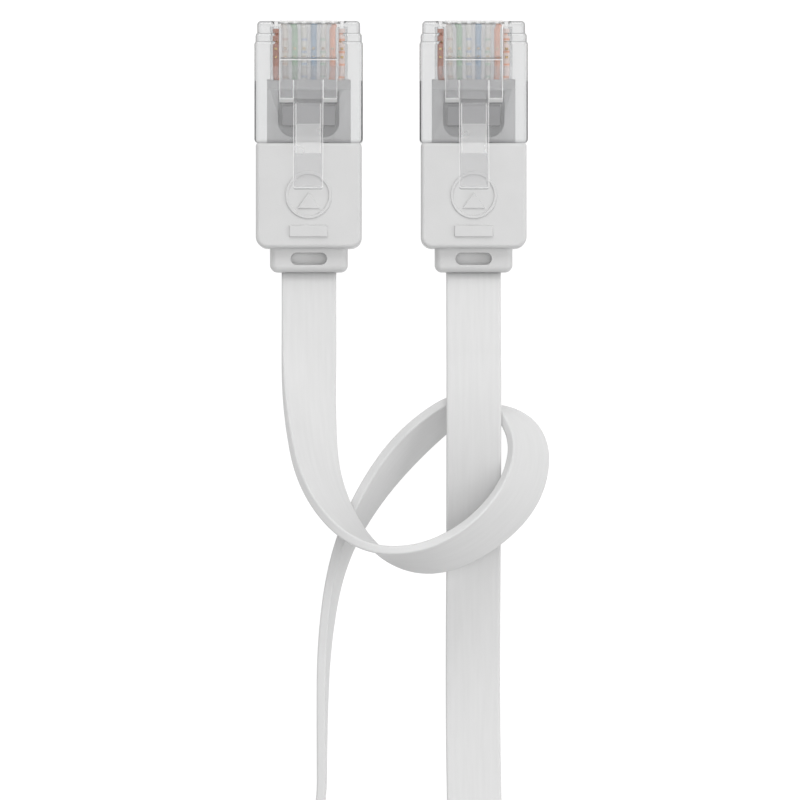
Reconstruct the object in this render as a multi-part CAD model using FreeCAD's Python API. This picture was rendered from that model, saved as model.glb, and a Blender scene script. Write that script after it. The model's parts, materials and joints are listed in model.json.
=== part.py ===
import FreeCAD, Part
import math
import os

V = FreeCAD.Vector

# The cable lies on a surface at z = 0. Both plugs point along +Y with their latches up.
# The origin is midway between the two plugs, on that surface. All sizes are millimetres.

# Plug, across (x), along (y) and up (z)
plug_spacing = 17.8          # between the centre lines of the two plugs as they lie
plug_width = 11.7
plug_height = 6.5
plug_length = 27.1           # nose to the collar's end
nose_y = plug_length / 2
housing_length = 13.2        # the clear part, nose to boot
housing_back_y = nose_y - housing_length
corner_radius = 0.45
shoulder_y = 11.4            # front of the full-size part of the housing
nose_steps = [(shoulder_y, 0.2, 0.12), (12.3, 0.4, 0.3)]     # start, lower by, narrower by on each side
collar_back_y = nose_y - plug_length

# Wires and contacts
wire_count = 8
contact_pitch = 1.02
jacket_pitch = 0.66          # between the wires where they enter the flat jacket
wire_radius = 0.33
core_radius = 0.12
wire_z = 3.15
blade_thick = 0.32
tooth_top_z = 3.7

# Flat cable
cable_width = 5.9
cable_thick = 1.0
exit_z = 3.3                 # height of the cable's middle where it leaves a collar

# Plug cavities
mouth_half = 4.5             # half width of the rear mouth, filled by the inner mould
mouth_low = 1.15
mouth_high = 4.95
mould_front_y = 7.2
mould_back_y = -7.5
jacket_front_y = 4.6
chamber_half = 4.2
chamber_low = 2.6
chamber_high = 3.75
chamber_front_y = 13.0
slot_half = blade_thick / 2 + 0.05

# Latch
latch_half = 3.1             # the wide part, which carries the locking shoulders
tongue_half = 1.6
hinge_y = 12.75
hinge_z = 6.25
root_radius = 0.5
rest_angle = 11.0            # how far the latch stands up from the housing at rest
recess_half = latch_half + 0.2
recess_floor_z = 5.6
recess_back_y = 1.0
notch_half = 3.85            # the open notch in the nose, wider than the latch's root
wedge_half = 2.85
wedge_back_y = 2.25
wedge_front_y = 4.55

# Boot and collar
boot_half = 5.7
boot_back_y = -10.95
collar_half = 4.2
collar_low = 1.5
collar_high = 5.1

# Cord: a round tube with the same section area as the flat cable
flat_area = (cable_width - cable_thick) * cable_thick + math.pi * (cable_thick / 2) ** 2
tube_radius = math.sqrt(flat_area / math.pi)

# Hank of the put-away length: an oblong ring, in line with the plugs
hank_near_y = -100.1         # centre of the fold next to the plugs
hank_straight = 71.8
hank_inner = 13.7
hank_outer = 21.1
hank_high = 6.0
tie_length = 8.0
tie_thick = 0.6
tie_gap = 0.15

# Middle line of the cord from plug a through its open loop to the hank's outer turn
route_a = [
    (-8.9, collar_back_y, exit_z),
    (-8.9, -20.5, 3.2),
    (-8.9, -28.5, 4.6),
    (-7.9, -36.5, 7.8),
    (-3.6, -42.8, 10.0),
    (3.3, -44.8, 9.3),
    (9.6, -42.2, 7.4),
    (14.3, -36.8, 5.6),
    (14.6, -30.4, 4.2),
    (8.9, -27.2, 3.4),
    (2.6, -32.0, 3.1),
    (-2.4, -38.0, 3.0),
    (-5.9, -44.8, 3.0),
    (-7.3, -53.5, 3.0),
    (-7.5, -63.2, 3.05),
    (-7.5, -73.3, 3.1),
    (-12.0, -81.2, 3.0),
    (-17.5, -89.5, 3.0),
]
# Middle line from plug b, over the loop's back and on to the hank's inner turn
route_b = [
    (8.9, collar_back_y, exit_z),
    (8.9, -19.2, 3.9),
    (8.9, -24.8, 7.4),
    (8.9, -31.2, 7.4),
    (8.9, -37.6, 3.6),
    (8.9, -46.0, 1.5),
    (8.85, -56.6, 1.6),
    (8.9, -67.2, 3.7),
    (9.1, -76.6, 7.4),
    (9.8, -85.2, 8.2),
    (11.0, -93.7, 8.2),
    (12.7, -102.1, 7.3),
    (14.0, -110.4, 4.6),
    (14.4, -118.9, 3.2),
]


def box(x0, x1, y0, y1, z0, z1):
    return Part.makeBox(x1 - x0, y1 - y0, z1 - z0, V(x0, y0, z0))


def prism_x(points, half):
    """A closed outline of (y, z) points, as thick as 2 * half along X."""
    outline = Part.makePolygon([V(-half, y, z) for y, z in points + points[:1]])
    return Part.Face(outline).extrude(V(2 * half, 0, 0))


def prism_z(points, z0, z1):
    """A closed outline of (x, y) points between two heights."""
    outline = Part.makePolygon([V(x, y, z0) for x, y in points + points[:1]])
    return Part.Face(outline).extrude(V(0, 0, z1 - z0))


def rounded(shape, radius, chosen):
    """The shape with the edges that chosen() picks by their middle and direction rounded."""
    edges = []
    for edge in shape.Edges:
        if isinstance(edge.Curve, Part.Line) and chosen(edge.CenterOfMass, edge.tangentAt(edge.FirstParameter)):
            edges.append(edge)
    return shape.makeFillet(radius, edges)


def stadium(length, width, y, z0, z1):
    """A round-ended slot along X, centred on x = 0."""
    reach = (length - width) / 2
    body = box(-reach, reach, y - width / 2, y + width / 2, z0, z1)
    ends = [Part.makeCylinder(width / 2, z1 - z0, V(x, y, z0)) for x in (-reach, reach)]
    return body.fuse(ends).removeSplitter()


def flat_bar(y0, y1, z):
    """A straight length of the flat cable, with its two narrow sides rounded."""
    half = cable_thick / 2
    reach = cable_width / 2 - half
    body = box(-reach, reach, y0, y1, z - half, z + half)
    sides = [Part.makeCylinder(half, y1 - y0, V(x, y0, z), V(0, 1, 0)) for x in (-reach, reach)]
    return body.fuse(sides).removeSplitter()


def path_wire(points):
    """Straight runs joined by tangent arcs, each arc as large as its two runs allow."""
    points = [V(*p) for p in points]
    pieces = []
    radii = []
    start = points[0]
    for before, here, after in zip(points, points[1:], points[2:]):
        way_in = (here - before).normalize()
        way_out = (after - here).normalize()
        half_turn = way_in.getAngle(way_out) / 2
        cut = 0.45 * min((here - before).Length, (after - here).Length)
        radius = cut / math.tan(half_turn)
        inwards = (way_out - way_in).normalize()
        middle = here + inwards * (radius / math.cos(half_turn) - radius)
        arc_start = here - way_in * cut
        arc_end = here + way_out * cut
        pieces.append(Part.LineSegment(start, arc_start).toShape())
        pieces.append(Part.Arc(arc_start, middle, arc_end).toShape())
        radii.append(radius)
        start = arc_end
    pieces.append(Part.LineSegment(start, points[-1]).toShape())
    return Part.Wire(pieces), radii


def tube(points, radius):
    wire, radii = path_wire(points)
    first = V(*points[0])
    ring = Part.Wire([Part.makeCircle(radius, first, V(*points[1]) - first)])
    return wire.makePipeShell([ring], True, False), wire.Length, radii


def wire_x(number, pitch):
    return (number - (wire_count + 1) / 2) * pitch


def rounded_block(half, y0, y1, high, radius):
    body = box(-half, half, y0, y1, 0, high)
    return rounded(body, radius, lambda m, d: True)


def housing():
    body = rounded_block(plug_width / 2, housing_back_y, shoulder_y, plug_height, corner_radius)
    for y, drop, narrower in nose_steps:     # the nose is lower and narrower, in two small steps
        start = y - 2 * corner_radius - 0.6
        end = nose_y if y == nose_steps[-1][0] else nose_steps[-1][0]
        half = plug_width / 2 - narrower
        body = body.fuse(rounded_block(half, start, end, plug_height - drop, corner_radius))
    body = body.cut(box(-mouth_half, mouth_half, housing_back_y, mould_front_y + 0.05, mouth_low, mouth_high))
    body = body.cut(box(-chamber_half, chamber_half, mould_front_y, chamber_front_y, chamber_low, chamber_high))
    recess = box(-recess_half, recess_half, recess_back_y, nose_y + 1, recess_floor_z, plug_height + 1)
    recess = rounded(recess, 1.6, lambda m, d: abs(d.z) > 0.9 and m.y < recess_back_y + 0.1)
    notch = box(-notch_half, notch_half, nose_steps[-1][0], nose_y + 1, recess_floor_z, plug_height + 1)
    lip = box(-latch_half, latch_half, hinge_y + root_radius + 0.1, nose_y, recess_floor_z - 0.5, hinge_z)
    body = body.cut(recess).cut(notch).fuse(lip)
    for number in range(1, wire_count + 1):
        x = wire_x(number, contact_pitch)
        body = body.cut(box(x - slot_half, x + slot_half, 8.8, nose_y, 0, chamber_low))
    window = box(-wedge_half - 0.05, wedge_half + 0.05, wedge_back_y - 0.05, wedge_front_y + 0.05,
                 mouth_high, recess_floor_z)
    return body.cut(window).removeSplitter()


def latch():
    """The lever, drawn flat with its hinge at the origin, then turned up and moved to the nose."""
    back = -17.9
    step = -3.35             # where the wide part gets thicker
    shoulder = -8.1
    bend = -14.0             # where the finger pad starts
    rim_start = -6.0
    side = prism_x(
        [
            (0, -0.5), (0, 0.5), (step, 0.5), (step - 0.4, 0.95), (shoulder, 1.15),
            (shoulder - 0.4, 0.6), (bend, 0.6), (back, 0.95), (back, 0.1),
            (bend, -0.2), (shoulder, -0.2), (shoulder + 0.6, -0.45),
        ],
        latch_half,
    )
    root = Part.makeCylinder(root_radius, 2 * latch_half, V(-latch_half, 0, 0), V(1, 0, 0))
    wide = prism_x(
        [(root_radius, -1), (root_radius, 2), (shoulder, 2), (shoulder, 1.15), (shoulder - 0.17, -1)],
        latch_half,
    )
    wide = rounded(wide, 0.45, lambda m, d: abs(d.z) > 0.9 and m.y > 0)
    tongue = box(-tongue_half, tongue_half, back, shoulder + 1, -1, 2)
    tongue = rounded(tongue, 0.25, lambda m, d: abs(d.z) > 0.9 and m.y < back + 0.1)
    lever = side.fuse(root).common(wide.fuse(tongue))
    rim_width = 0.26
    for x in (-tongue_half, tongue_half - rim_width):
        rim = prism_x(
            [
                (rim_start, 0.9), (rim_start - 0.1, 1.25), (shoulder, 1.33), (shoulder - 0.4, 0.8),
                (bend, 0.8), (back + 0.3, 1.12), (back + 0.3, 0.8), (bend, 0.5), (shoulder - 0.4, 0.5),
                (shoulder, 0.9),
            ],
            rim_width / 2,
        )
        rim.translate(V(x + rim_width / 2, 0, 0))
        lever = lever.fuse(rim)
    lever = lever.removeSplitter()
    lever.rotate(V(0, 0, 0), V(1, 0, 0), -rest_angle)
    lever.translate(V(0, hinge_y, hinge_z))
    return lever


def contact(number):
    """A blade whose rounded lower edge shows in its slot and whose two teeth stand through the wire."""
    low = 0.5
    blade = prism_x([(9.0, low), (12.7, low), (12.7, 2.2), (12.3, 2.5), (9.0, 2.5)], blade_thick / 2)
    blade = rounded(blade, 0.6, lambda m, d: abs(d.x) > 0.9 and m.z < low + 0.1)
    for y in (9.7, 10.6):
        outline = [(y - 0.3, 2.4), (y + 0.3, 2.4), (y + 0.1, tooth_top_z), (y - 0.1, tooth_top_z)]
        blade = blade.fuse(prism_x(outline, blade_thick / 2))
    blade = blade.removeSplitter()
    blade.translate(V(wire_x(number, contact_pitch), 0, 0))
    return blade


def wire_points(number):
    x0 = wire_x(number, contact_pitch)
    x1 = wire_x(number, jacket_pitch)
    return [(x0, 12.8, wire_z), (x0, 7.1, wire_z), (x1, 5.3, exit_z), (x1, jacket_front_y, exit_z)]


def wire_and_core(number):
    core = tube(wire_points(number), core_radius)[0]
    cover = tube(wire_points(number), wire_radius)[0].cut(core).cut(contact(number))
    return cover, core.cut(contact(number))


def wire_guide():
    """A clear comb in the wire chamber, with one hole for each wire."""
    body = box(-chamber_half, chamber_half, 7.4, 8.7, chamber_low, chamber_high)
    for number in range(1, wire_count + 1):
        x = wire_x(number, contact_pitch)
        body = body.cut(Part.makeCylinder(wire_radius + 0.03, 2, V(x, 7, wire_z), V(0, 1, 0)))
    return body


def crimp_wedge():
    """The bar that is pressed down through the window onto the cable's jacket."""
    low = exit_z + cable_thick / 2
    high = recess_floor_z - 0.05
    slope = 0.25
    outline = [
        (wedge_back_y, low), (wedge_front_y, low), (wedge_front_y, high - slope),
        (wedge_front_y - slope, high), (wedge_back_y, high),
    ]
    return prism_x(outline, wedge_half)


def inner_mould():
    """The block that fills the rear mouth. It has a pocket where the wires draw together and one on top."""
    body = box(-mouth_half, mouth_half, mould_back_y, mould_front_y, mouth_low, mouth_high)
    slope = [(mould_front_y, 3.9), (mould_front_y, mouth_high), (mould_front_y - 1.0, mouth_high)]
    wire_pocket = box(-4.0, 4.0, jacket_front_y, mould_front_y, 2.75, 3.7)
    top_pocket = box(-recess_half, recess_half, recess_back_y, 6.0, 4.1, mouth_high)
    top_pocket = rounded(top_pocket, 1.6, lambda m, d: abs(d.z) > 0.9 and m.y < recess_back_y + 0.1)
    wedge_hole = box(-wedge_half, wedge_half, wedge_back_y, wedge_front_y, exit_z, mouth_high)
    body = body.cut(prism_x(slope, mouth_half)).cut(wire_pocket).cut(top_pocket).cut(wedge_hole)
    return body.cut(flat_bar(mould_back_y, jacket_front_y, exit_z))


def raised_marks(z):
    """A blank bar and a plain ring with an arrowhead that points to the nose."""
    bar = box(-2.05, 2.05, -9.75, -8.55, z, z + 0.25)
    ring_y = -5.3
    ring = Part.makeCylinder(2.5, 0.18, V(0, ring_y, z)).cut(Part.makeCylinder(2.2, 0.18, V(0, ring_y, z)))
    arrow = prism_z([(-1.2, ring_y - 1.4), (1.2, ring_y - 1.4), (0, ring_y + 0.3)], z, z + 0.18)
    return bar, ring, arrow


def boot():
    body = box(-boot_half, boot_half, boot_back_y, housing_back_y, 0, plug_height)
    body = rounded(body, 1.2, lambda m, d: abs(d.z) > 0.9 and m.y < boot_back_y + 0.1)
    body = rounded(body, 0.4, lambda m, d: abs(d.y) > 0.9)
    collar = box(-collar_half, collar_half, collar_back_y, boot_back_y + 0.5, collar_low, collar_high)
    collar = rounded(collar, 0.8, lambda m, d: abs(d.z) > 0.9 and m.y < collar_back_y + 0.1)
    collar = rounded(collar, 0.7, lambda m, d: abs(d.y) > 0.9)
    body = body.fuse(collar)
    body = body.cut(box(-mouth_half, mouth_half, mould_back_y, housing_back_y, mouth_low, mouth_high))
    body = body.cut(flat_bar(collar_back_y, mould_back_y, exit_z))
    slot_y = -12.1
    half = cable_thick / 2
    body = body.cut(stadium(3.9, 1.3, slot_y, exit_z + half, collar_high))
    body = body.cut(stadium(3.9, 1.3, slot_y, collar_low, exit_z - half))
    return body.fuse(raised_marks(plug_height)).removeSplitter()


def jacket_end():
    return flat_bar(collar_back_y, jacket_front_y, exit_z)


def oblong(radius, z0, z1):
    """The hank's outline at one radius: two half rounds and the straight between them."""
    far_y = hank_near_y - hank_straight
    body = box(-radius, radius, far_y, hank_near_y, z0, z1)
    ends = [Part.makeCylinder(radius, z1 - z0, V(0, y, z0)) for y in (far_y, hank_near_y)]
    return body.fuse(ends).removeSplitter()


def cable_hank():
    return oblong(hank_outer, 0, hank_high).cut(oblong(hank_inner, 0, hank_high))


def hank_tie(side):
    """A strap round one side of the hank, drawn tight enough to lie level with its underside."""
    middle_y = hank_near_y - hank_straight / 2
    y0 = middle_y - tie_length / 2
    y1 = middle_y + tie_length / 2
    near = hank_inner - tie_gap
    far = hank_outer + tie_gap
    strap = box(near - tie_thick, far + tie_thick, y0, y1, 0, hank_high + tie_thick)
    strap = rounded(strap, 1.2, lambda m, d: abs(d.y) > 0.9)
    hole = rounded(box(near, far, y0, y1, tie_thick, hank_high), 0.6, lambda m, d: abs(d.y) > 0.9)
    strap = strap.cut(hole)
    if side < 0:
        strap = strap.mirror(V(0, 0, 0), V(1, 0, 0))
    return strap


def plug(letter, x):
    nodes = {
        "housing": housing(),
        "latch": latch(),
        "wire_guide": wire_guide(),
        "crimp_wedge": crimp_wedge(),
        "inner_mould": inner_mould(),
        "jacket_end": jacket_end(),
        "boot": boot(),
    }
    nodes = {f"{name}_{letter}": shape for name, shape in nodes.items()}
    cores = []
    for number in range(1, wire_count + 1):
        cover, core = wire_and_core(number)
        nodes[f"wire_{letter}_{number}"] = cover
        nodes[f"contact_{letter}_{number}"] = contact(number)
        cores.append(core)
    nodes[f"wire_cores_{letter}"] = Part.makeCompound(cores)
    for shape in nodes.values():
        shape.translate(V(x, 0, 0))
    return nodes


def cord(name, route):
    shape, length, radii = tube(route, tube_radius)
    share = shape.Volume / (flat_area * length)
    print(f"{name}: {length:.1f} mm long, volume is {share:.4f} of section times length")
    print("  arc radii", ", ".join(f"{r:.1f}" for r in radii))
    return shape


def main():
    nodes = {}
    nodes.update(plug("a", -plug_spacing / 2))
    nodes.update(plug("b", plug_spacing / 2))
    nodes["cable_run_a"] = cord("cable_run_a", route_a)
    nodes["cable_run_b"] = cord("cable_run_b", route_b)
    nodes["cable_hank"] = cable_hank()
    nodes["hank_tie_left"] = hank_tie(-1)
    nodes["hank_tie_right"] = hank_tie(1)
    os.makedirs("parts", exist_ok=True)
    for name, shape in nodes.items():
        shape.exportStep(f"parts/{name}.step")
        if not shape.isValid() or shape.Volume <= 0:
            print("not a sound solid:", name)
    print(len(nodes), "nodes")


main()
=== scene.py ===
import json
import math
import bmesh
import bpy
from mathutils import Matrix, Vector


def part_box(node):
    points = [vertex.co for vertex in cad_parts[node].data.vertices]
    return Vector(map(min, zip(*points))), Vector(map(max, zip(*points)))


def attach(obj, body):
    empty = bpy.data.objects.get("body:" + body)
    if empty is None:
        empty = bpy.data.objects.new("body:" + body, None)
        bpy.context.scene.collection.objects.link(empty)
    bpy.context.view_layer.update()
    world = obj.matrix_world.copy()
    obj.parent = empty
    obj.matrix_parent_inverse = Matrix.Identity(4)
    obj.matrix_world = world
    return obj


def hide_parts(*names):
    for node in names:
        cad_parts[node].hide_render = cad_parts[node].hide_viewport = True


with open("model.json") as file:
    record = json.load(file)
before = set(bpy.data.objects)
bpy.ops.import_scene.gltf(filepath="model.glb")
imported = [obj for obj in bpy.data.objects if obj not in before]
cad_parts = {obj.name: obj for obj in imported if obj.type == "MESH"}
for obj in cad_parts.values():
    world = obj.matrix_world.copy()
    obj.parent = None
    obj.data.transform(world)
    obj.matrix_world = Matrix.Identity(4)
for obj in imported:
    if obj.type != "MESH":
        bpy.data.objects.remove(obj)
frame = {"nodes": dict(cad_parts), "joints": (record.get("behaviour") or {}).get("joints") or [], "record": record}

mm = 0.001
scene = bpy.context.scene
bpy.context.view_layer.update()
nodeNames = list(frame["nodes"])
plugLetters = [name[-1] for name in nodeNames if name.startswith("housing_")]
wireCount = sum(name.startswith("wire_a_") for name in nodeNames)
bodyOf = {node: body for body, nodes in frame["record"]["behaviour"]["bodies"].items() for node in nodes}


def addPiece(name, mesh, material, body, *nodes):
    piece = bpy.data.objects.new(name, mesh)
    scene.collection.objects.link(piece)
    if not mesh.materials:
        mesh.materials.append(material)
    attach(piece, body)
    if nodes:
        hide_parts(*nodes)
    return piece


def setMaterial(node, material):
    for place in frame["nodes"][node].material_slots:  # the CAD mesh itself is left alone
        place.material = material


def centreOf(node):
    low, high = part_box(node)
    return (low + high) / 2


copying = {  # how a CAD mesh is joined up and its edges softened
    "mergeDistance": 0.0005 * mm,
    "flatAngle": math.radians(0.4),
    "sharpAngle": math.radians(35),
    "edgeSegments": 2,
}


def mergedCopy(node):
    # a CAD mesh is loose triangles, so its copy is joined up and each flat face is made whole
    shape = bmesh.new()
    shape.from_mesh(frame["nodes"][node].data)
    bmesh.ops.remove_doubles(shape, verts=shape.verts, dist=copying["mergeDistance"])
    bmesh.ops.dissolve_limit(shape, angle_limit=copying["flatAngle"], verts=shape.verts,
                             edges=shape.edges)
    return shape


def isSharp(edge):
    return edge.is_manifold and edge.calc_face_angle(0) > copying["sharpAngle"]


def roundEdges(shape, edges, width, segments, rimIndex=-1):
    # the new narrow faces take the material at rimIndex, or their neighbours' with -1
    bmesh.ops.bevel(shape, geom=edges, offset=width, offset_type="OFFSET", segments=segments,
                    profile=0.5, affect="EDGES", clamp_overlap=True, material=rimIndex)


def softenEdges(shape, width, rimIndex=-1):
    sharp = [edge for edge in shape.edges if isSharp(edge)]
    roundEdges(shape, sharp, width, copying["edgeSegments"], rimIndex)


def closeShape(shape, name):
    for face in shape.faces:
        face.smooth = True
    mesh = bpy.data.meshes.new(name)
    shape.to_mesh(mesh)
    shape.free()
    return mesh


def keepFlats(piece):
    weighted = piece.modifiers.new("keepFlats", "WEIGHTED_NORMAL")
    weighted.mode = "FACE_AREA"
    weighted.weight = 100


def socket(tree, name, way, kind="NodeSocketFloat", value=None):
    made = tree.interface.new_socket(name=name, in_out=way, socket_type=kind)
    if value is not None:
        made.default_value = value
    return made


def addNode(tree, kind, inputs=None, **settings):
    node = tree.nodes.new(kind)
    for key, value in settings.items():
        setattr(node, key, value)
    for key, value in (inputs or {}).items():
        node.inputs[key].default_value = value
    return node


def mouldGrainGroup():
    # fine grain for a bump, and a slow drift for colour and roughness
    tree = bpy.data.node_groups.new("mouldGrain", "ShaderNodeTree")
    socket(tree, "Grain Scale", "INPUT", value=9000.0)
    socket(tree, "Drift Scale", "INPUT", value=220.0)
    socket(tree, "Height", "OUTPUT")
    socket(tree, "Tone", "OUTPUT")
    given = tree.nodes.new("NodeGroupInput")
    put = tree.nodes.new("NodeGroupOutput")
    place = addNode(tree, "ShaderNodeTexCoord")
    grain = addNode(tree, "ShaderNodeTexNoise", {"Detail": 3.0, "Roughness": 0.6})
    drift = addNode(tree, "ShaderNodeTexNoise", {"Detail": 2.0, "Roughness": 0.5})
    tree.links.new(place.outputs["Object"], grain.inputs["Vector"])
    tree.links.new(place.outputs["Object"], drift.inputs["Vector"])
    tree.links.new(given.outputs["Grain Scale"], grain.inputs["Scale"])
    tree.links.new(given.outputs["Drift Scale"], drift.inputs["Scale"])
    tree.links.new(grain.outputs["Fac"], put.inputs["Height"])
    tree.links.new(drift.outputs["Fac"], put.inputs["Tone"])
    return tree


mouldGrain = mouldGrainGroup()


def newMaterial(name, settings):
    material = bpy.data.materials.new(name)
    material.use_nodes = True
    shader = material.node_tree.nodes["Principled BSDF"]
    for key, value in settings.items():
        shader.inputs[key].default_value = value
    return material, material.node_tree, shader


def addBump(tree, height, shader, strength, distance):
    bump = addNode(tree, "ShaderNodeBump", {"Strength": strength, "Distance": distance})
    tree.links.new(height, bump.inputs["Height"])
    tree.links.new(bump.outputs["Normal"], shader.inputs["Normal"])


def grainBump(tree, shader, grainScale, driftScale, strength, distance):
    grain = addNode(tree, "ShaderNodeGroup", node_tree=mouldGrain)
    grain.inputs["Grain Scale"].default_value = grainScale
    grain.inputs["Drift Scale"].default_value = driftScale
    addBump(tree, grain.outputs["Height"], shader, strength, distance)
    return grain


def blendColours(tree, factor, first, second, shader, start=0.3, end=0.7):
    ramp = addNode(tree, "ShaderNodeValToRGB")
    for element, colour, place in zip(ramp.color_ramp.elements, (first, second), (start, end)):
        element.color = (*colour, 1)
        element.position = place
    tree.links.new(factor, ramp.inputs["Fac"])
    tree.links.new(ramp.outputs["Color"], shader.inputs["Base Color"])


def toneRoughness(tree, tone, shader, low, high):
    span = addNode(tree, "ShaderNodeMapRange", {
        "From Min": 0.3, "From Max": 0.7, "To Min": low, "To Max": high})
    tree.links.new(tone, span.inputs["Value"])
    tree.links.new(span.outputs["Result"], shader.inputs["Roughness"])


plastic = {"specular": 0.4, "driftScale": 260.0, "grainDepth": 0.04 * mm}


def plainPlastic(name, first, second, roughness, grainScale, bumpStrength):
    material, tree, shader = newMaterial(name, {"Specular IOR Level": plastic["specular"]})
    grain = grainBump(tree, shader, grainScale, plastic["driftScale"], bumpStrength, plastic["grainDepth"])
    blendColours(tree, grain.outputs["Tone"], first, second, shader)
    toneRoughness(tree, grain.outputs["Tone"], shader, *roughness)
    return material


clearLook = {
    "grainScale": 2600.0,
    "driftScale": 420.0,
    "grainDepth": 0.02 * mm,
    "outlineFrom": 0.1,          # how far a surface turns away before its painted dark outline starts, and where it is darkest
    "outlineTo": 0.55,
    "shadowTint": (0.96, 0.96, 0.96, 1),
}


def glassyMaterial(name, settings):
    # round edges that turn away get a painted dark outline in their colour, and light on its way to a lamp or the
    # sky passes straight
    material, tree, shader = newMaterial(name, {
        "IOR": settings["ior"], "Transmission Weight": settings["clear"], "Metallic": 0.0})
    grain = grainBump(tree, shader, clearLook["grainScale"], clearLook["driftScale"], settings["ripple"],
                      clearLook["grainDepth"])
    toneRoughness(tree, grain.outputs["Tone"], shader, *settings["roughness"])
    # painted dark outline: the colour goes from the tint to the darker edge tint as a surface turns from view
    turned = addNode(tree, "ShaderNodeLayerWeight", {"Blend": 0.5})
    edge = tuple(part * settings["edge"] for part in settings["tint"])
    blendColours(tree, turned.outputs["Facing"], settings["tint"], edge, shader, clearLook["outlineFrom"],
                 clearLook["outlineTo"])
    path = addNode(tree, "ShaderNodeLightPath")
    either = addNode(tree, "ShaderNodeMath", operation="MAXIMUM")
    through = addNode(tree, "ShaderNodeBsdfTransparent", {"Color": clearLook["shadowTint"]})
    blend = addNode(tree, "ShaderNodeMixShader")
    tree.links.new(path.outputs["Is Shadow Ray"], either.inputs[0])
    tree.links.new(path.outputs["Is Diffuse Ray"], either.inputs[1])
    tree.links.new(either.outputs["Value"], blend.inputs["Fac"])
    tree.links.new(shader.outputs["BSDF"], blend.inputs[1])
    tree.links.new(through.outputs["BSDF"], blend.inputs[2])
    tree.links.new(blend.outputs["Shader"], tree.nodes["Material Output"].inputs["Surface"])
    return material


clearPlastics = {
    "housingClear": {"tint": (0.63, 0.634, 0.638), "edge": 0.3, "roughness": (0.02, 0.05), "ior": 1.46,
                     "clear": 1.0, "ripple": 0.04},
    "latchClear": {"tint": (0.78, 0.78, 0.785), "edge": 0.7, "roughness": (0.06, 0.1), "ior": 1.22,
                   "clear": 0.88, "ripple": 0.05},
    # whiter and nearly opaque: a painted highlight for the latch's edges, shoulders and ribs
    "latchHighlightPaint": {"tint": (0.9, 0.9, 0.9), "edge": 0.9, "roughness": (0.3, 0.4), "ior": 1.45,
                 "clear": 0.1, "ripple": 0.05},
    "latchMilk": {"tint": (0.82, 0.82, 0.82), "edge": 0.9, "roughness": (0.08, 0.14), "ior": 1.25,
                  "clear": 0.79, "ripple": 0.05},
    "latchHaze": {"tint": (0.8, 0.8, 0.8), "edge": 0.9, "roughness": (0.2, 0.3), "ior": 1.3,
                  "clear": 0.68, "ripple": 0.1},
    # darker: painted shade for the sloped finger pad, which also has a rougher, rippled surface
    "latchPadShade": {"tint": (0.5, 0.5, 0.505), "edge": 0.7, "roughness": (0.22, 0.3), "ior": 1.4,
                 "clear": 0.8, "ripple": 0.3},
}
clearMaterials = {name: glassyMaterial(name, settings) for name, settings in clearPlastics.items()}

greyPlastics = {
    "bootWhite": {
        "tones": (0.52, 0.545), "blue": 0.0, "roughness": (0.42, 0.5), "grain": 7000.0, "bump": 0.25},
    "mouldGrey": {
        "tones": (0.44, 0.48), "blue": 0.005, "roughness": (0.45, 0.6), "grain": 5000.0, "bump": 0.3},
    # dark grey painted shade: the wedge is darkened to match the shade in the pocket it sits in
    "wedgePaintedShade": {
        "tones": (0.22, 0.25), "blue": 0.005, "roughness": (0.4, 0.5), "grain": 5000.0, "bump": 0.2},
    "guideClear": {
        "tones": (0.7, 0.8), "blue": 0.01, "roughness": (0.15, 0.3), "grain": 3000.0, "bump": 0.1},
    "jacketEnd": {
        "tones": (0.575, 0.6), "blue": 0.0, "roughness": (0.38, 0.48), "grain": 6000.0, "bump": 0.15},
    "stitchThread": {
        "tones": (0.62, 0.72), "blue": 0.0, "roughness": (0.6, 0.8), "grain": 9000.0, "bump": 0.3},
}
guideAlpha = 0.12


def greyPlastic(name, look):
    first, second = ((tone, tone, tone + look["blue"]) for tone in look["tones"])
    return plainPlastic(name, first, second, look["roughness"], look["grain"], look["bump"])


greys = {name: greyPlastic(name, look) for name, look in greyPlastics.items()}
greys["guideClear"].node_tree.nodes["Principled BSDF"].inputs["Alpha"].default_value = guideAlpha

jacket = {
    "specular": 0.22,
    "streakScale": (14.0, 0.9, 1.0),
    "ridgeShare": 0.02,          # how much the ridges over the wires add to the streaks, in the bump and in the colour, where their low parts get a faint painted shade
    "tones": (0.575, 0.6),
    "bumpStrength": 0.2,
    "bumpDepth": 0.03 * mm,
    "roughness": (0.44, 0.56),
}


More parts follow.
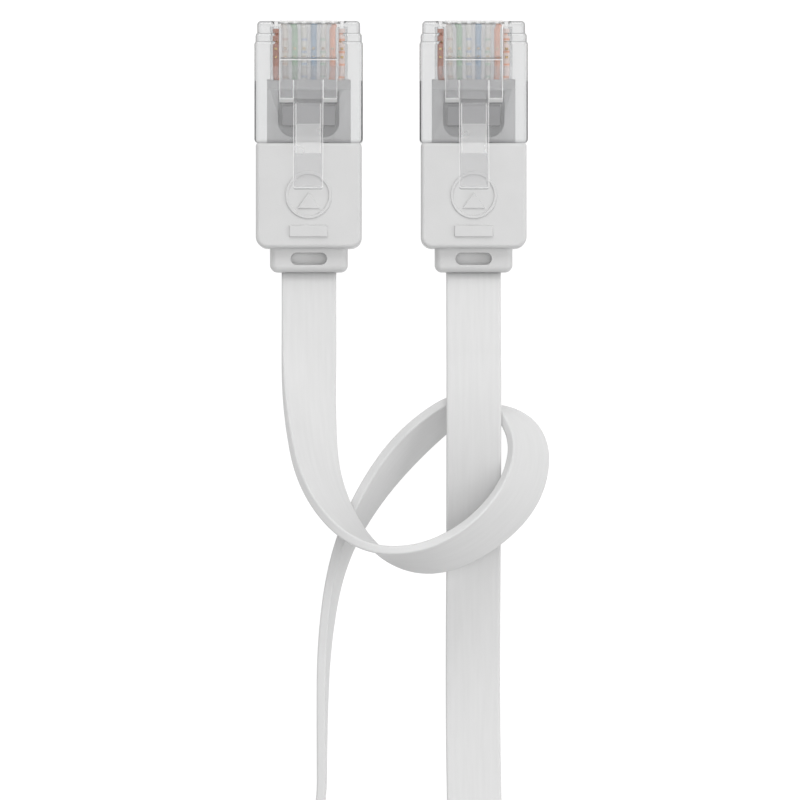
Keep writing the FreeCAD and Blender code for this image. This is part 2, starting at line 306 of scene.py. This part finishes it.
def jacketMaterial():
    # u runs across the flat cable and v along it
    material, tree, shader = newMaterial("cableJacket", {"Specular IOR Level": jacket["specular"]})
    place = addNode(tree, "ShaderNodeUVMap", uv_map="cableUV")
    stretch = addNode(tree, "ShaderNodeMapping", {"Scale": jacket["streakScale"]})
    streaks = addNode(tree, "ShaderNodeTexNoise", {"Scale": 1.0, "Detail": 3.0, "Roughness": 0.55})
    split = addNode(tree, "ShaderNodeSeparateXYZ")
    turn = addNode(tree, "ShaderNodeMath", {1: 2 * math.pi * wireCount}, operation="MULTIPLY")
    ridge = addNode(tree, "ShaderNodeMath", operation="COSINE")
    mix = addNode(tree, "ShaderNodeMath", {1: jacket["ridgeShare"]}, operation="MULTIPLY_ADD")
    tree.links.new(place.outputs["UV"], stretch.inputs["Vector"])
    tree.links.new(stretch.outputs["Vector"], streaks.inputs["Vector"])
    tree.links.new(place.outputs["UV"], split.inputs["Vector"])
    tree.links.new(split.outputs["X"], turn.inputs[0])
    tree.links.new(turn.outputs["Value"], ridge.inputs[0])
    tree.links.new(ridge.outputs["Value"], mix.inputs[0])
    tree.links.new(streaks.outputs["Fac"], mix.inputs[2])
    first, second = ((tone, tone, tone) for tone in jacket["tones"])
    # the ridge term also paints a faint shade into the colour where the ridges dip
    blendColours(tree, mix.outputs["Value"], first, second, shader)
    addBump(tree, mix.outputs["Value"], shader, jacket["bumpStrength"], jacket["bumpDepth"])
    toneRoughness(tree, streaks.outputs["Fac"], shader, *jacket["roughness"])
    return material


cableJacket = jacketMaterial()

metal = {"grainScale": 12000.0, "driftScale": 900.0, "bumpStrength": 0.15, "grainDepth": 0.01 * mm}


def metalMaterial(name, first, second, roughness):
    material, tree, shader = newMaterial(name, {"Metallic": 1.0})
    grain = grainBump(tree, shader, metal["grainScale"], metal["driftScale"], metal["bumpStrength"],
                      metal["grainDepth"])
    blendColours(tree, grain.outputs["Tone"], first, second, shader)
    toneRoughness(tree, grain.outputs["Tone"], shader, *roughness)
    return material


contactGold = metalMaterial("contactGold", (0.6, 0.4, 0.14), (0.78, 0.54, 0.2), (0.2, 0.34))
bareCopper = metalMaterial("bareCopper", (0.68, 0.3, 0.16), (0.86, 0.44, 0.27), (0.25, 0.4))

wireColours = {  # the common B order, from pin 1
    1: ("whiteOrange", (0.8, 0.66, 0.62), (0.8, 0.36, 0.22)),
    2: ("orange", (0.85, 0.26, 0.08), None),
    3: ("whiteGreen", (0.68, 0.66, 0.62), (0.3, 0.5, 0.36)),
    4: ("blue", (0.16, 0.32, 0.5), None),
    5: ("whiteBlue", (0.68, 0.67, 0.62), (0.3, 0.42, 0.6)),
    6: ("green", (0.22, 0.46, 0.24), None),
    7: ("whiteBrown", (0.64, 0.58, 0.52), (0.46, 0.3, 0.2)),
    8: ("brown", (0.46, 0.17, 0.1), None),
}


wireLook = {
    "darkest": 0.8,              # the darker tone of a plain wire, as a share of its colour
    "roughness": (0.3, 0.45),
    "grain": 4000.0,
    "bump": 0.15,
    "stripedRoughness": 0.38,
    "stripedSpecular": 0.45,
    "stripeScale": 230.0,
    "stripeWander": 0.6,
    "stripeFrom": 0.88,
    "stripeTo": 0.98,
}


def wireMaterial(name, base, stripe):
    if stripe is None:
        darker = tuple(wireLook["darkest"] * part for part in base)
        return plainPlastic(name, darker, base, wireLook["roughness"], wireLook["grain"], wireLook["bump"])
    material, tree, shader = newMaterial(name, {
        "Specular IOR Level": wireLook["stripedSpecular"], "Roughness": wireLook["stripedRoughness"]})
    place = addNode(tree, "ShaderNodeTexCoord")
    rings = addNode(tree, "ShaderNodeTexWave", {
        "Scale": wireLook["stripeScale"], "Distortion": wireLook["stripeWander"], "Detail": 1.0},
        wave_type="BANDS", bands_direction="Y")
    tree.links.new(place.outputs["Object"], rings.inputs["Vector"])
    blendColours(tree, rings.outputs["Fac"], base, stripe, shader, wireLook["stripeFrom"],
                 wireLook["stripeTo"])
    return material


wireMaterials = {pin: wireMaterial("wire" + name[0].upper() + name[1:], base, stripe)
                 for pin, (name, base, stripe) in wireColours.items()}


strapLook = {
    "roughness": 0.9,
    "sheen": 0.4,
    "napScale": 3500.0,
    "bumpStrength": 0.6,
    "napDepth": 0.08 * mm,
    "tones": (0.6, 0.76),
}


def strapMaterial():
    material, tree, shader = newMaterial("strapFabric", {
        "Roughness": strapLook["roughness"], "Sheen Weight": strapLook["sheen"]})
    place = addNode(tree, "ShaderNodeTexCoord")
    nap = addNode(tree, "ShaderNodeTexVoronoi", {"Scale": strapLook["napScale"]})
    tree.links.new(place.outputs["Object"], nap.inputs["Vector"])
    addBump(tree, nap.outputs["Distance"], shader, strapLook["bumpStrength"], strapLook["napDepth"])
    first, second = ((tone, tone, tone) for tone in strapLook["tones"])
    blendColours(tree, nap.outputs["Distance"], first, second, shader)
    return material


strapFabric = strapMaterial()
print("materials made")


cable = {
    "width": 5.9 * mm,
    "thickness": 1.0 * mm,
    "length": 0.9355,
    "cornerRadius": 0.2 * mm,
    "cornerPoints": 4,
    "samplesPerRun": 12,
}
hank = {  # the put-away length, in millimetres and degrees
    "nearCentre": -100.1,
    "straight": 71.8,
    "outer": 20.6,
    "inner": 14.4,
    "firstAngle": 149.0,
    "halfTurns": 6,
    "foldPoints": 8,         # control points in each half turn
    "sidePoints": 5,
    "leftOpen": 2,           # side points that the lead to plug b takes over
    "restHeight": 3.05,
    "tieLift": 0.86,
    "tieSqueeze": 0.3,
    "tieSpread": 13.0,
}

# x, y and z in millimetres, then the roll in degrees: 0 lies flat and 90 stands on edge
routeA = [
    (-8.9, -13.55, 3.3, 0),
    (-8.9, -20.5, 3.2, 0),
    (-8.9, -28.5, 4.6, 26),
    (-7.9, -36.5, 7.8, 48),
    (-3.6, -42.8, 10.0, 78),
    (3.3, -44.8, 9.3, 122),
    (9.6, -42.2, 7.4, 132),
    (14.5, -36.9, 5.6, 142),
    (15.1, -30.5, 4.2, 126),
    (8.9, -26.8, 3.4, 70),
    (2.4, -31.5, 3.1, 56),
    (-2.6, -37.8, 3.0, 67),
    (-5.9, -44.8, 3.0, 80),
    (-7.3, -53.5, 3.0, 85),
    (-7.5, -63.2, 3.05, 89),
    (-7.5, -73.3, 3.1, 90),
    (-12.0, -81.2, 3.05, 90),
    (-17.5, -89.5, 3.05, 90),
]
# from plug b; the flat cable is thinner than its round stand-in, so it lies lower on the floor and the hank
routeB = [
    (8.9, -13.55, 3.3, 0),
    (8.9, -19.2, 3.9, 0),
    (8.9, -24.8, 7.4, 0),
    (8.9, -31.2, 7.2, 0),
    (8.9, -37.6, 5.0, 0),
    (8.9, -46.0, 2.5, 0),
    (8.85, -56.6, 0.9, 0),
    (8.9, -67.2, 2.4, 0),
    (9.1, -76.6, 6.6, 0),
    (9.8, -85.2, 7.3, 6),
    (11.0, -93.7, 8.1, 30),
    (12.7, -102.1, 7.2, 62),
    (14.0, -110.4, 4.4, 84),
    (14.4, -118.9, 3.2, 90),
]


def hankPoints():
    # half turns round the near and far centres, joined by sides that are drawn in a little at the ties
    centres = (hank["nearCentre"], hank["nearCentre"] - hank["straight"])
    places = []
    for half in range(hank["halfTurns"]):
        centre, other = centres[half % 2], centres[1 - half % 2]
        for k in range(hank["foldPoints"]):
            places.append((180 * (half + (k + 0.5) / hank["foldPoints"]), centre))
        for k in range(hank["sidePoints"]):
            places.append((180 * (half + 1), centre + (other - centre) * (k + 0.5) / hank["sidePoints"]))
    places = [place for place in places[:-hank["leftOpen"]] if place[0] > hank["firstAngle"]]
    lastAngle = 180 * hank["halfTurns"]
    middle = (hank["outer"] + hank["inner"]) / 2
    points = []
    for angle, centre in places:
        share = (angle - hank["firstAngle"]) / (lastAngle - hank["firstAngle"])
        radius = hank["outer"] + (hank["inner"] - hank["outer"]) * share
        near = math.exp(-((centre - sum(centres) / 2) / hank["tieSpread"]) ** 2)
        radius = middle + (radius - middle) * (1 - hank["tieSqueeze"] * near)
        turn = math.radians(angle)
        points.append((radius * math.cos(turn), centre + radius * math.sin(turn),
                       hank["restHeight"] + hank["tieLift"] * near, 90))
    return points


def readSpline(points, samples):
    # the points of a smooth open line whose control points are given
    curve = bpy.data.curves.new("lineForReading", "CURVE")
    curve.dimensions = "3D"
    line = curve.splines.new("NURBS")
    line.points.add(len(points) - 1)
    for place, point in zip(line.points, points):
        place.co = (*point, 1)
    line.order_u = 3
    line.use_endpoint_u = True
    line.resolution_u = samples
    holder = bpy.data.objects.new("lineForReading", curve)
    scene.collection.objects.link(holder)
    bpy.context.view_layer.update()
    mesh = bpy.data.meshes.new_from_object(holder)
    found = [vertex.co.copy() for vertex in mesh.vertices]
    bpy.data.objects.remove(holder)
    bpy.data.meshes.remove(mesh)
    return found


def flatProfile(width, thickness, corner, count):
    # points round a flat bar with rounded corners, in order
    points = []
    for xSide, zSide in ((1, -1), (1, 1), (-1, 1), (-1, -1)):
        start = {(1, -1): -90, (1, 1): 0, (-1, 1): 90, (-1, -1): 180}[xSide, zSide]
        for i in range(count):
            turn = math.radians(start + 90 * i / (count - 1))
            points.append((xSide * (width / 2 - corner) + corner * math.cos(turn),
                           zSide * (thickness / 2 - corner) + corner * math.sin(turn)))
        if xSide == zSide:           # more points across the side that follows, which keep it flat
            for part in (0.94, 0.5, 0.0, -0.5, -0.94):
                points.append((xSide * part * (width / 2 - corner), zSide * thickness / 2))
        else:
            for part in (0.8, -0.8):
                points.append((xSide * width / 2, zSide * part * (thickness / 2 - corner)))
    return points


def makeCable():
    control = routeA + hankPoints() + routeB[::-1]
    places = [tuple(mm * part for part in point[:3]) for point in control]
    line = readSpline(places, cable["samplesPerRun"])
    rollPoints = [(math.radians(point[3]), 0, 0) for point in control]
    rolls = [found.x for found in readSpline(rollPoints, cable["samplesPerRun"])]
    profile = flatProfile(cable["width"], cable["thickness"], cable["cornerRadius"], cable["cornerPoints"])
    across = [point[0] / cable["width"] + 0.5 for point in profile]
    shape = bmesh.new()
    uvs = shape.loops.layers.uv.new("cableUV")
    rings = []
    alongs = []
    along = 0.0
    for i, point in enumerate(line):
        ahead = (line[min(i + 1, len(line) - 1)] - line[max(i - 1, 0)]).normalized()
        flat = ahead.cross(Vector((0, 0, 1))).normalized()
        upright = flat.cross(ahead)
        wide = flat * math.cos(rolls[i]) + upright * math.sin(rolls[i])
        thick = wide.cross(ahead)
        if i:
            along += (point - line[i - 1]).length
        alongs.append(along)
        rings.append([shape.verts.new(point + wide * x + thick * y) for x, y in profile])
    count = len(profile)
    for i in range(len(rings) - 1):
        for k in range(count):
            n = (k + 1) % count
            face = shape.faces.new((rings[i][k], rings[i][n], rings[i + 1][n], rings[i + 1][k]))
            face.smooth = True
            corners = ((k, i), (n, i), (n, i + 1), (k, i + 1))
            for loop, (place, ring) in zip(face.loops, corners):
                loop[uvs].uv = (across[place], alongs[ring] / cable["width"])
    shape.faces.new(rings[0][::-1])
    shape.faces.new(rings[-1])
    bmesh.ops.recalc_face_normals(shape, faces=shape.faces)
    mesh = bpy.data.meshes.new("flatCable")
    shape.to_mesh(mesh)
    shape.free()
    return mesh, line, along


cableMesh, cableLine, cableLong = makeCable()
flatCable = addPiece("flatCable", cableMesh, cableJacket, bodyOf["cable_hank"],
                     "cable_run_a", "cable_run_b", "cable_hank")
print(f"cable made, {cableLong:.4f} m long")


housing = {
    "edgeWidth": 0.12 * mm,
    "combDepth": 0.75 * mm,      # the comb between the contact slots at the nose is less clear
    "combHalf": 3.7 * mm,
}


def makeHousing(letter):
    node = f"housing_{letter}"
    shape = mergedCopy(node)
    softenEdges(shape, housing["edgeWidth"])
    nose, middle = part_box(node)[1].y, centreOf(node).x
    for face in shape.faces:
        place = face.calc_center_median()
        inComb = abs(place.x - middle) < housing["combHalf"] and nose - place.y < housing["combDepth"]
        face.material_index = int(inComb)
    piece = addPiece(f"clearHousing_{letter}", closeShape(shape, f"clearHousing_{letter}"),
                     clearMaterials["housingClear"], bodyOf[node], node)
    piece.data.materials.append(clearMaterials["latchMilk"])
    keepFlats(piece)


latch = {  # lengths in millimetres along the lever from its hinge
    "restAngle": 11.0,
    "edgeWidth": 0.1 * mm,
    "step": (-3.6, -3.0),        # the upper edge of the slope where the lever gets thicker
    "shoulder": (-8.6, -7.9),
    "tongue": 1.6,
    "ribs": (-17.7, -5.9),
    "ribHeight": 0.7,
    "ribOuter": 1.49,
    "milkFrom": -10.75,
    "padFrom": -14.0,
    "reach": 0.02,               # a face this near to the tongue's side still counts as the side
    "sideFrom": 1.2,             # the latch's own sides start this far out from the tongue
    "topFacing": 0.8,            # how much a face looks up to count as the top
}


def latchFinish(face, toLever):
    # 1 is a whiter, nearly opaque finish that paints highlights on edges, shoulders and ribs; 2 is the finger pad,
    # darker to paint the shade of its slope; 3 and 4 are milky and 0 is clear
    place = toLever @ face.calc_center_median() / mm
    facing = toLever.to_3x3() @ face.normal
    inTongue = abs(place.x) < latch["tongue"] - latch["reach"]
    onSide = abs(place.x) > latch["tongue"] + latch["sideFrom"]
    if latch["shoulder"][0] < place.y < latch["shoulder"][1]:
        return 0 if inTongue and abs(place.x) < latch["ribOuter"] else 1
    if latch["ribs"][0] < place.y < latch["ribs"][1] and place.z > latch["ribHeight"] and inTongue:
        return 1 if abs(place.x) > latch["ribOuter"] else 0
    # faces from the rounded edges already hold finish 1, the painted highlight; at the middle of the step they
    # stay clear
    if face.material_index and not onSide and latch["step"][0] < place.y < latch["step"][1]:
        return 0
    if face.material_index:
        return 1
    if facing.z < latch["topFacing"]:
        return 0
    # the finger pad takes the darker finish, painted shade for its slope
    if place.y < latch["padFrom"]:
        return 2
    if place.y < latch["milkFrom"]:
        return 4
    return 3 if place.y > latch["step"][0] else 0


def makeLatch(letter):
    node = f"latch_{letter}"
    joint = next(joint for joint in frame["joints"] if joint["child"] == bodyOf[node])
    turn = Matrix.Rotation(math.radians(latch["restAngle"]), 4, "X")
    toLever = turn @ Matrix.Translation(-Vector(joint["pos_m"]))
    shape = mergedCopy(node)
    cut = toLever.inverted() @ Vector((0, latch["milkFrom"] * mm, 0))
    bmesh.ops.bisect_plane(shape, geom=shape.verts[:] + shape.edges[:] + shape.faces[:], plane_co=cut,
                           plane_no=toLever.to_3x3().inverted() @ Vector((0, 1, 0)))
    # the new rounded edges take finish 1, the painted highlight
    softenEdges(shape, latch["edgeWidth"], 1)
    for face in shape.faces:
        face.material_index = latchFinish(face, toLever)
    piece = addPiece(f"latchLever_{letter}", closeShape(shape, f"latchLever_{letter}"),
                     clearMaterials["latchClear"], bodyOf[node], node)
    for finish in ("latchHighlightPaint", "latchPadShade", "latchMilk", "latchHaze"):
        piece.data.materials.append(clearMaterials[finish])
    keepFlats(piece)


boot = {
    "edgeWidth": 0.08 * mm,
    "frontEdgeWidth": 0.3 * mm,
    "frontSegments": 4,
    "rimReach": 1.1 * mm,        # an edge nearer to the outside than this is on the front's outer edge
    "ringHeight": 0.3 * mm,
    "frontSlack": 0.01 * mm,
}


def makeBoot(letter):
    shape = mergedCopy(f"boot_{letter}")
    low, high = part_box(f"boot_{letter}")
    top = high.z - boot["ringHeight"]
    outer = []
    for edge in shape.edges:
        place = (edge.verts[0].co + edge.verts[1].co) / 2
        nearest = min(place.x - low.x, high.x - place.x, place.z - low.z, top - place.z)
        atFront = all(abs(corner.co.y - high.y) < boot["frontSlack"] for corner in edge.verts)
        if atFront and nearest < boot["rimReach"] and isSharp(edge):
            outer.append(edge)
    roundEdges(shape, outer, boot["frontEdgeWidth"], boot["frontSegments"])
    softenEdges(shape, boot["edgeWidth"])
    piece = addPiece(f"slimBoot_{letter}", closeShape(shape, f"slimBoot_{letter}"), greys["bootWhite"],
                     bodyOf[f"boot_{letter}"], f"boot_{letter}")
    keepFlats(piece)


def newTree(name, inputs):
    # a geometry tree with its named inputs, and the two nodes that its geometry comes from and goes to
    tree = bpy.data.node_groups.new(name, "GeometryNodeTree")
    socket(tree, "Geometry", "INPUT", "NodeSocketGeometry")
    for key, (kind, value) in inputs.items():
        socket(tree, key, "INPUT", kind, value)
    socket(tree, "Geometry", "OUTPUT", "NodeSocketGeometry")
    given = tree.nodes.new("NodeGroupInput")
    put = tree.nodes.new("NodeGroupOutput")
    return tree, given, put


def finishTree(tree, given, put, instances):
    real = tree.nodes.new("GeometryNodeRealizeInstances")
    finish = tree.nodes.new("GeometryNodeSetMaterial")
    tree.links.new(instances, real.inputs["Geometry"])
    tree.links.new(real.outputs["Geometry"], finish.inputs["Geometry"])
    tree.links.new(given.outputs["Material"], finish.inputs["Material"])
    tree.links.new(finish.outputs["Geometry"], put.inputs["Geometry"])


def grow(mesh, tree, values):
    # runs a tree on a mesh and gives its result back as a plain mesh
    holder = bpy.data.objects.new("grower", mesh)
    scene.collection.objects.link(holder)
    modifier = holder.modifiers.new("tree", "NODES")
    modifier.node_group = tree
    for item in tree.interface.items_tree:
        if item.item_type == "SOCKET" and item.in_out == "INPUT" and item.name in values:
            modifier[item.identifier] = values[item.name]
    bpy.context.view_layer.update()
    depsgraph = bpy.context.evaluated_depsgraph_get()
    result = bpy.data.meshes.new_from_object(holder.evaluated_get(depsgraph))
    bpy.data.objects.remove(holder)
    return result


def bladeRowTree():
    # copies of one contact blade in a row across the plug
    tree, given, put = newTree("bladeRow", {
        "Blades": ("NodeSocketInt", 8),
        "Pitch": ("NodeSocketFloat", 1.02 * mm),
        "Material": ("NodeSocketMaterial", None),
    })
    row = addNode(tree, "GeometryNodeMeshLine", mode="OFFSET")
    step = addNode(tree, "ShaderNodeCombineXYZ")
    copies = tree.nodes.new("GeometryNodeInstanceOnPoints")
    tree.links.new(given.outputs["Blades"], row.inputs["Count"])
    tree.links.new(given.outputs["Pitch"], step.inputs["X"])
    tree.links.new(step.outputs["Vector"], row.inputs["Offset"])
    tree.links.new(row.outputs["Mesh"], copies.inputs["Points"])
    tree.links.new(given.outputs["Geometry"], copies.inputs["Instance"])
    finishTree(tree, given, put, copies.outputs["Instances"])
    return tree


bladeRow = bladeRowTree()
blade = {"edgeWidth": 0.025 * mm}


def makeContacts(letter):
    nodes = [f"contact_{letter}_{number}" for number in range(1, wireCount + 1)]
    pitch = centreOf(nodes[1]).x - centreOf(nodes[0]).x
    shape = mergedCopy(nodes[0])
    softenEdges(shape, blade["edgeWidth"])
    mesh = grow(closeShape(shape, "blade"), bladeRow, {
        "Blades": wireCount, "Pitch": pitch, "Material": contactGold})
    mesh.name = f"contactBlades_{letter}"
    piece = addPiece(f"contactBlades_{letter}", mesh, contactGold, bodyOf[nodes[0]], *nodes)
    keepFlats(piece)


for letter in plugLetters:
    makeHousing(letter)
    makeLatch(letter)
    makeBoot(letter)
    makeContacts(letter)
    setMaterial(f"wire_guide_{letter}", greys["guideClear"])
    # the crimp wedge is painted dark to match the shade of its pocket
    setMaterial(f"crimp_wedge_{letter}", greys["wedgePaintedShade"])
    setMaterial(f"inner_mould_{letter}", greys["mouldGrey"])
    setMaterial(f"jacket_end_{letter}", greys["jacketEnd"])
    setMaterial(f"wire_cores_{letter}", bareCopper)
    for number in range(1, wireCount + 1):
        pin = wireCount + 1 - number  # pin 1 is on the right when the nose points away and the latch is up
        setMaterial(f"wire_{letter}_{number}", wireMaterials[pin])
print("plugs made")


def stitchRowTree():
    # short threads laid end to end along a line
    tree, given, put = newTree("stitchRow", {
        "Stitch Pitch": ("NodeSocketFloat", 1.0 * mm),
        "Stitch Length": ("NodeSocketFloat", 0.7 * mm),
        "Thread Thickness": ("NodeSocketFloat", 0.2 * mm),
        "Material": ("NodeSocketMaterial", None),
    })
    line = tree.nodes.new("GeometryNodeMeshToCurve")
    places = addNode(tree, "GeometryNodeCurveToPoints", mode="LENGTH")
    thread = addNode(tree, "GeometryNodeMeshUVSphere", {"Segments": 8, "Rings": 5, "Radius": 0.5})
    size = addNode(tree, "ShaderNodeCombineXYZ")
    copies = tree.nodes.new("GeometryNodeInstanceOnPoints")
    tree.links.new(given.outputs["Geometry"], line.inputs["Mesh"])
    tree.links.new(line.outputs["Curve"], places.inputs["Curve"])
    tree.links.new(given.outputs["Stitch Pitch"], places.inputs["Length"])
    tree.links.new(given.outputs["Thread Thickness"], size.inputs["X"])
    tree.links.new(given.outputs["Thread Thickness"], size.inputs["Y"])
    tree.links.new(given.outputs["Stitch Length"], size.inputs["Z"])
    tree.links.new(places.outputs["Points"], copies.inputs["Points"])
    tree.links.new(places.outputs["Rotation"], copies.inputs["Rotation"])
    tree.links.new(thread.outputs["Mesh"], copies.inputs["Instance"])
    tree.links.new(size.outputs["Vector"], copies.inputs["Scale"])
    finishTree(tree, given, put, copies.outputs["Instances"])
    return tree


tie = {  # millimetres
    "thickness": 0.6,
    "slack": 0.14,
    "floorGap": 0.13,
    "corner": 0.4,
    "overlap": 4.6,
    "ramp": 1.6,
    "step": 0.15,
    "across": 6,
    "edgeThin": 0.35,            # how much of the thickness is lost at the woven edge
    "edgePower": 6,
    "endRound": 0.8,             # how far the strap's two ends are rounded off, in mm
    "stitchInset": 0.9,
    "stitchPitch": 1.05,
    "stitchLength": 0.75,
    "threadThickness": 0.22,
}


def bandPath(x0, x1, z0, z1):
    # a function that gives the point and the outward direction at a distance round a rounded rectangle
    r = tie["corner"]
    wide, tall, bend = x1 - x0 - 2 * r, z1 - z0 - 2 * r, math.pi * r / 2
    legs = [
        (wide, 0, (x0 + r, z1)),
        (tall, -90, (x1, z1 - r)),
        (wide, 180, (x1 - r, z0)),
        (tall, 90, (x0, z0 + r)),
    ]
    around = 2 * (wide + tall) + 4 * bend

    def find(distance):
        rest = distance % around
        for length, way, start in legs:
            turn = math.radians(way)
            along = (math.cos(turn), math.sin(turn))
            out = (-along[1], along[0])
            if rest <= length:
                return (start[0] + along[0] * rest, start[1] + along[1] * rest), out
            rest -= length
            if rest <= bend:
                swing = turn - rest / r
                centre = [start[k] + along[k] * length - out[k] * r for k in (0, 1)]
                out = (-math.sin(swing), math.cos(swing))
                return (centre[0] + out[0] * r, centre[1] + out[1] * r), out
            rest -= bend
        return find(0)
    return find, around


def makeTie(node, side):
    low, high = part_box(node)
    y0, y1 = low.y / mm, high.y / mm
    held = [point / mm for point in cableLine if low.y < point.y < high.y and point.x * side > 0]
    gap = cable["thickness"] / mm / 2 + tie["slack"]
    x0, x1 = min(point.x for point in held) - gap, max(point.x for point in held) + gap
    top = max(point.z for point in held) + cable["width"] / mm / 2 + tie["slack"]
    find, around = bandPath(x0, x1, tie["thickness"] + tie["floorGap"], top)
    total = around + tie["overlap"]
    count = round(total / tie["step"])
    shape = bmesh.new()
    rings = []
    rows = {-1: [], 1: []}
    for i in range(count + 1):
        distance = total * i / count
        (x, z), out = find(distance)
        share = min(max((distance - around + tie["ramp"]) / tie["ramp"], 0), 1)
        lift = (tie["thickness"] + tie["slack"]) * share * share * (3 - 2 * share)
        endGap = min(distance, total - distance)
        half = (y1 - y0) / 2 - tie["endRound"] * max(0, 1 - endGap) ** 2
        ring = []
        for outer in (0, 1):
            for k in range(tie["across"] + 1):
                part = 2 * k / tie["across"] - 1
                part = -part if outer else part
                thick = tie["thickness"] * (1 - tie["edgeThin"] * abs(part) ** tie["edgePower"])
                height = lift + (thick if outer else 0)
                ring.append(shape.verts.new(Vector((x + out[0] * height, (y0 + y1) / 2 + half * part,
                                                    z + out[1] * height)) * mm))
        rings.append(ring)
        if tie["stitchInset"] < distance < total - tie["stitchInset"] / 2:
            reach = tie["thickness"] + lift
            for edge, row in rows.items():
                seam = (y0 + y1) / 2 + edge * ((y1 - y0) / 2 - tie["stitchInset"])
                row.append(Vector((x + out[0] * reach, seam, z + out[1] * reach)) * mm)
    for first, second in zip(rings, rings[1:]):
        for k in range(len(first)):
            n = (k + 1) % len(first)
            shape.faces.new((first[k], first[n], second[n], second[k]))
    shape.faces.new(rings[0][::-1])
    shape.faces.new(rings[-1])
    bmesh.ops.recalc_face_normals(shape, faces=shape.faces)
    name = node.replace("hank_tie", "hankTie")
    strap = addPiece(name, closeShape(shape, name), strapFabric, bodyOf[node], node)
    lines = bmesh.new()
    for row in rows.values():
        corners = [lines.verts.new(place) for place in row]
        for first, second in zip(corners, corners[1:]):
            lines.edges.new((first, second))
    mesh = bpy.data.meshes.new("stitchLines")
    lines.to_mesh(mesh)
    lines.free()
    threads = grow(mesh, stitchRow, {
        "Stitch Pitch": tie["stitchPitch"] * mm, "Stitch Length": tie["stitchLength"] * mm,
        "Thread Thickness": tie["threadThickness"] * mm, "Material": greys["stitchThread"]})
    name = node.replace("hank_tie", "tieStitches")
    threads.name = name
    piece = addPiece(name, threads, greys["stitchThread"], bodyOf[node])
    return strap, piece


stitchRow = stitchRowTree()
tiePieces = [*makeTie("hank_tie_left", -1), *makeTie("hank_tie_right", 1)]
print("ties made")


studio = {
    "floorTone": 0.12,
    "floorGlow": 0.95,
    "horizonTone": 0.42,
    "skyFrom": 0.05,             # how high the sky starts to brighten, and where it is white
    "skyTo": 0.6,
    "worldStrength": 0.71,
    "cameraHeight": 0.7,
    "viewWidth": 0.0865,
    "viewCentre": (0.00095, -0.02735),
    "overheadPower": 0.68,
    "backPower": 1.1,
    "sidePower": 0.7,
    "lampAim": (0.0, -0.03, 0.0),
    "floorDrop": 0.02 * mm,
    "sensorWidth": 36.0,
    "plugRise": 4 * mm,          # the camera's height is measured from about the middle of a plug
    "nearClip": 0.01,
    "farClip": 10.0,
}


def makeStudio():
    shape = bmesh.new()
    bmesh.ops.create_grid(shape, x_segments=1, y_segments=1, size=3.0)
    mesh = bpy.data.meshes.new("studioFloor")
    shape.to_mesh(mesh)
    shape.free()
    floor = bpy.data.objects.new("studioFloor", mesh)
    scene.collection.objects.link(floor)
    tone = studio["floorTone"]
    paper, _, _ = newMaterial("paleFloor", {
        "Base Color": (tone, tone, tone, 1), "Roughness": 0.9, "Specular IOR Level": 0.1,
        "Emission Color": (1, 1, 1, 1), "Emission Strength": studio["floorGlow"]})
    mesh.materials.append(paper)
    floor.location.z = -studio["floorDrop"]
    world = bpy.data.worlds.new("studioWorld")
    scene.world = world
    world.use_nodes = True
    tree = world.node_tree
    sky = tree.nodes["Background"]
    sky.inputs["Strength"].default_value = studio["worldStrength"]
    way = addNode(tree, "ShaderNodeTexCoord")
    split = addNode(tree, "ShaderNodeSeparateXYZ")
    rise = addNode(tree, "ShaderNodeMapRange", {
        "From Min": studio["skyFrom"], "From Max": studio["skyTo"],
        "To Min": studio["horizonTone"], "To Max": 1.0})
    tree.links.new(way.outputs["Generated"], split.inputs["Vector"])
    tree.links.new(split.outputs["Z"], rise.inputs["Value"])
    tree.links.new(rise.outputs["Result"], sky.inputs["Color"])
    addLamp("overheadSoftbox", (0.0, -0.03, 0.5), 0.35, studio["overheadPower"])
    addLamp("backSoftbox", (0.0, 0.4, 0.35), 0.3, studio["backPower"])
    addLamp("sideSoftbox", (0.45, -0.05, 0.25), 0.3, studio["sidePower"])


def addLamp(name, place, size, power):
    lamp = bpy.data.lights.new(name, "AREA")
    lamp.size = size
    lamp.energy = power
    holder = bpy.data.objects.new(name, lamp)
    scene.collection.objects.link(holder)
    holder.location = place
    aim = Vector(studio["lampAim"]) - Vector(place)
    holder.rotation_euler = aim.to_track_quat("-Z", "Y").to_euler()


def makeCamera():
    data = bpy.data.cameras.new("viewCamera")
    data.sensor_width = studio["sensorWidth"]
    data.lens = data.sensor_width * studio["cameraHeight"] / studio["viewWidth"]
    data.clip_start = studio["nearClip"]
    data.clip_end = studio["farClip"]
    camera = bpy.data.objects.new("viewCamera", data)
    scene.collection.objects.link(camera)
    camera.location = (*studio["viewCentre"], studio["cameraHeight"] + studio["plugRise"])
    scene.camera = camera


makeStudio()
makeCamera()
scene.view_settings.view_transform = "Standard"
print("studio made")
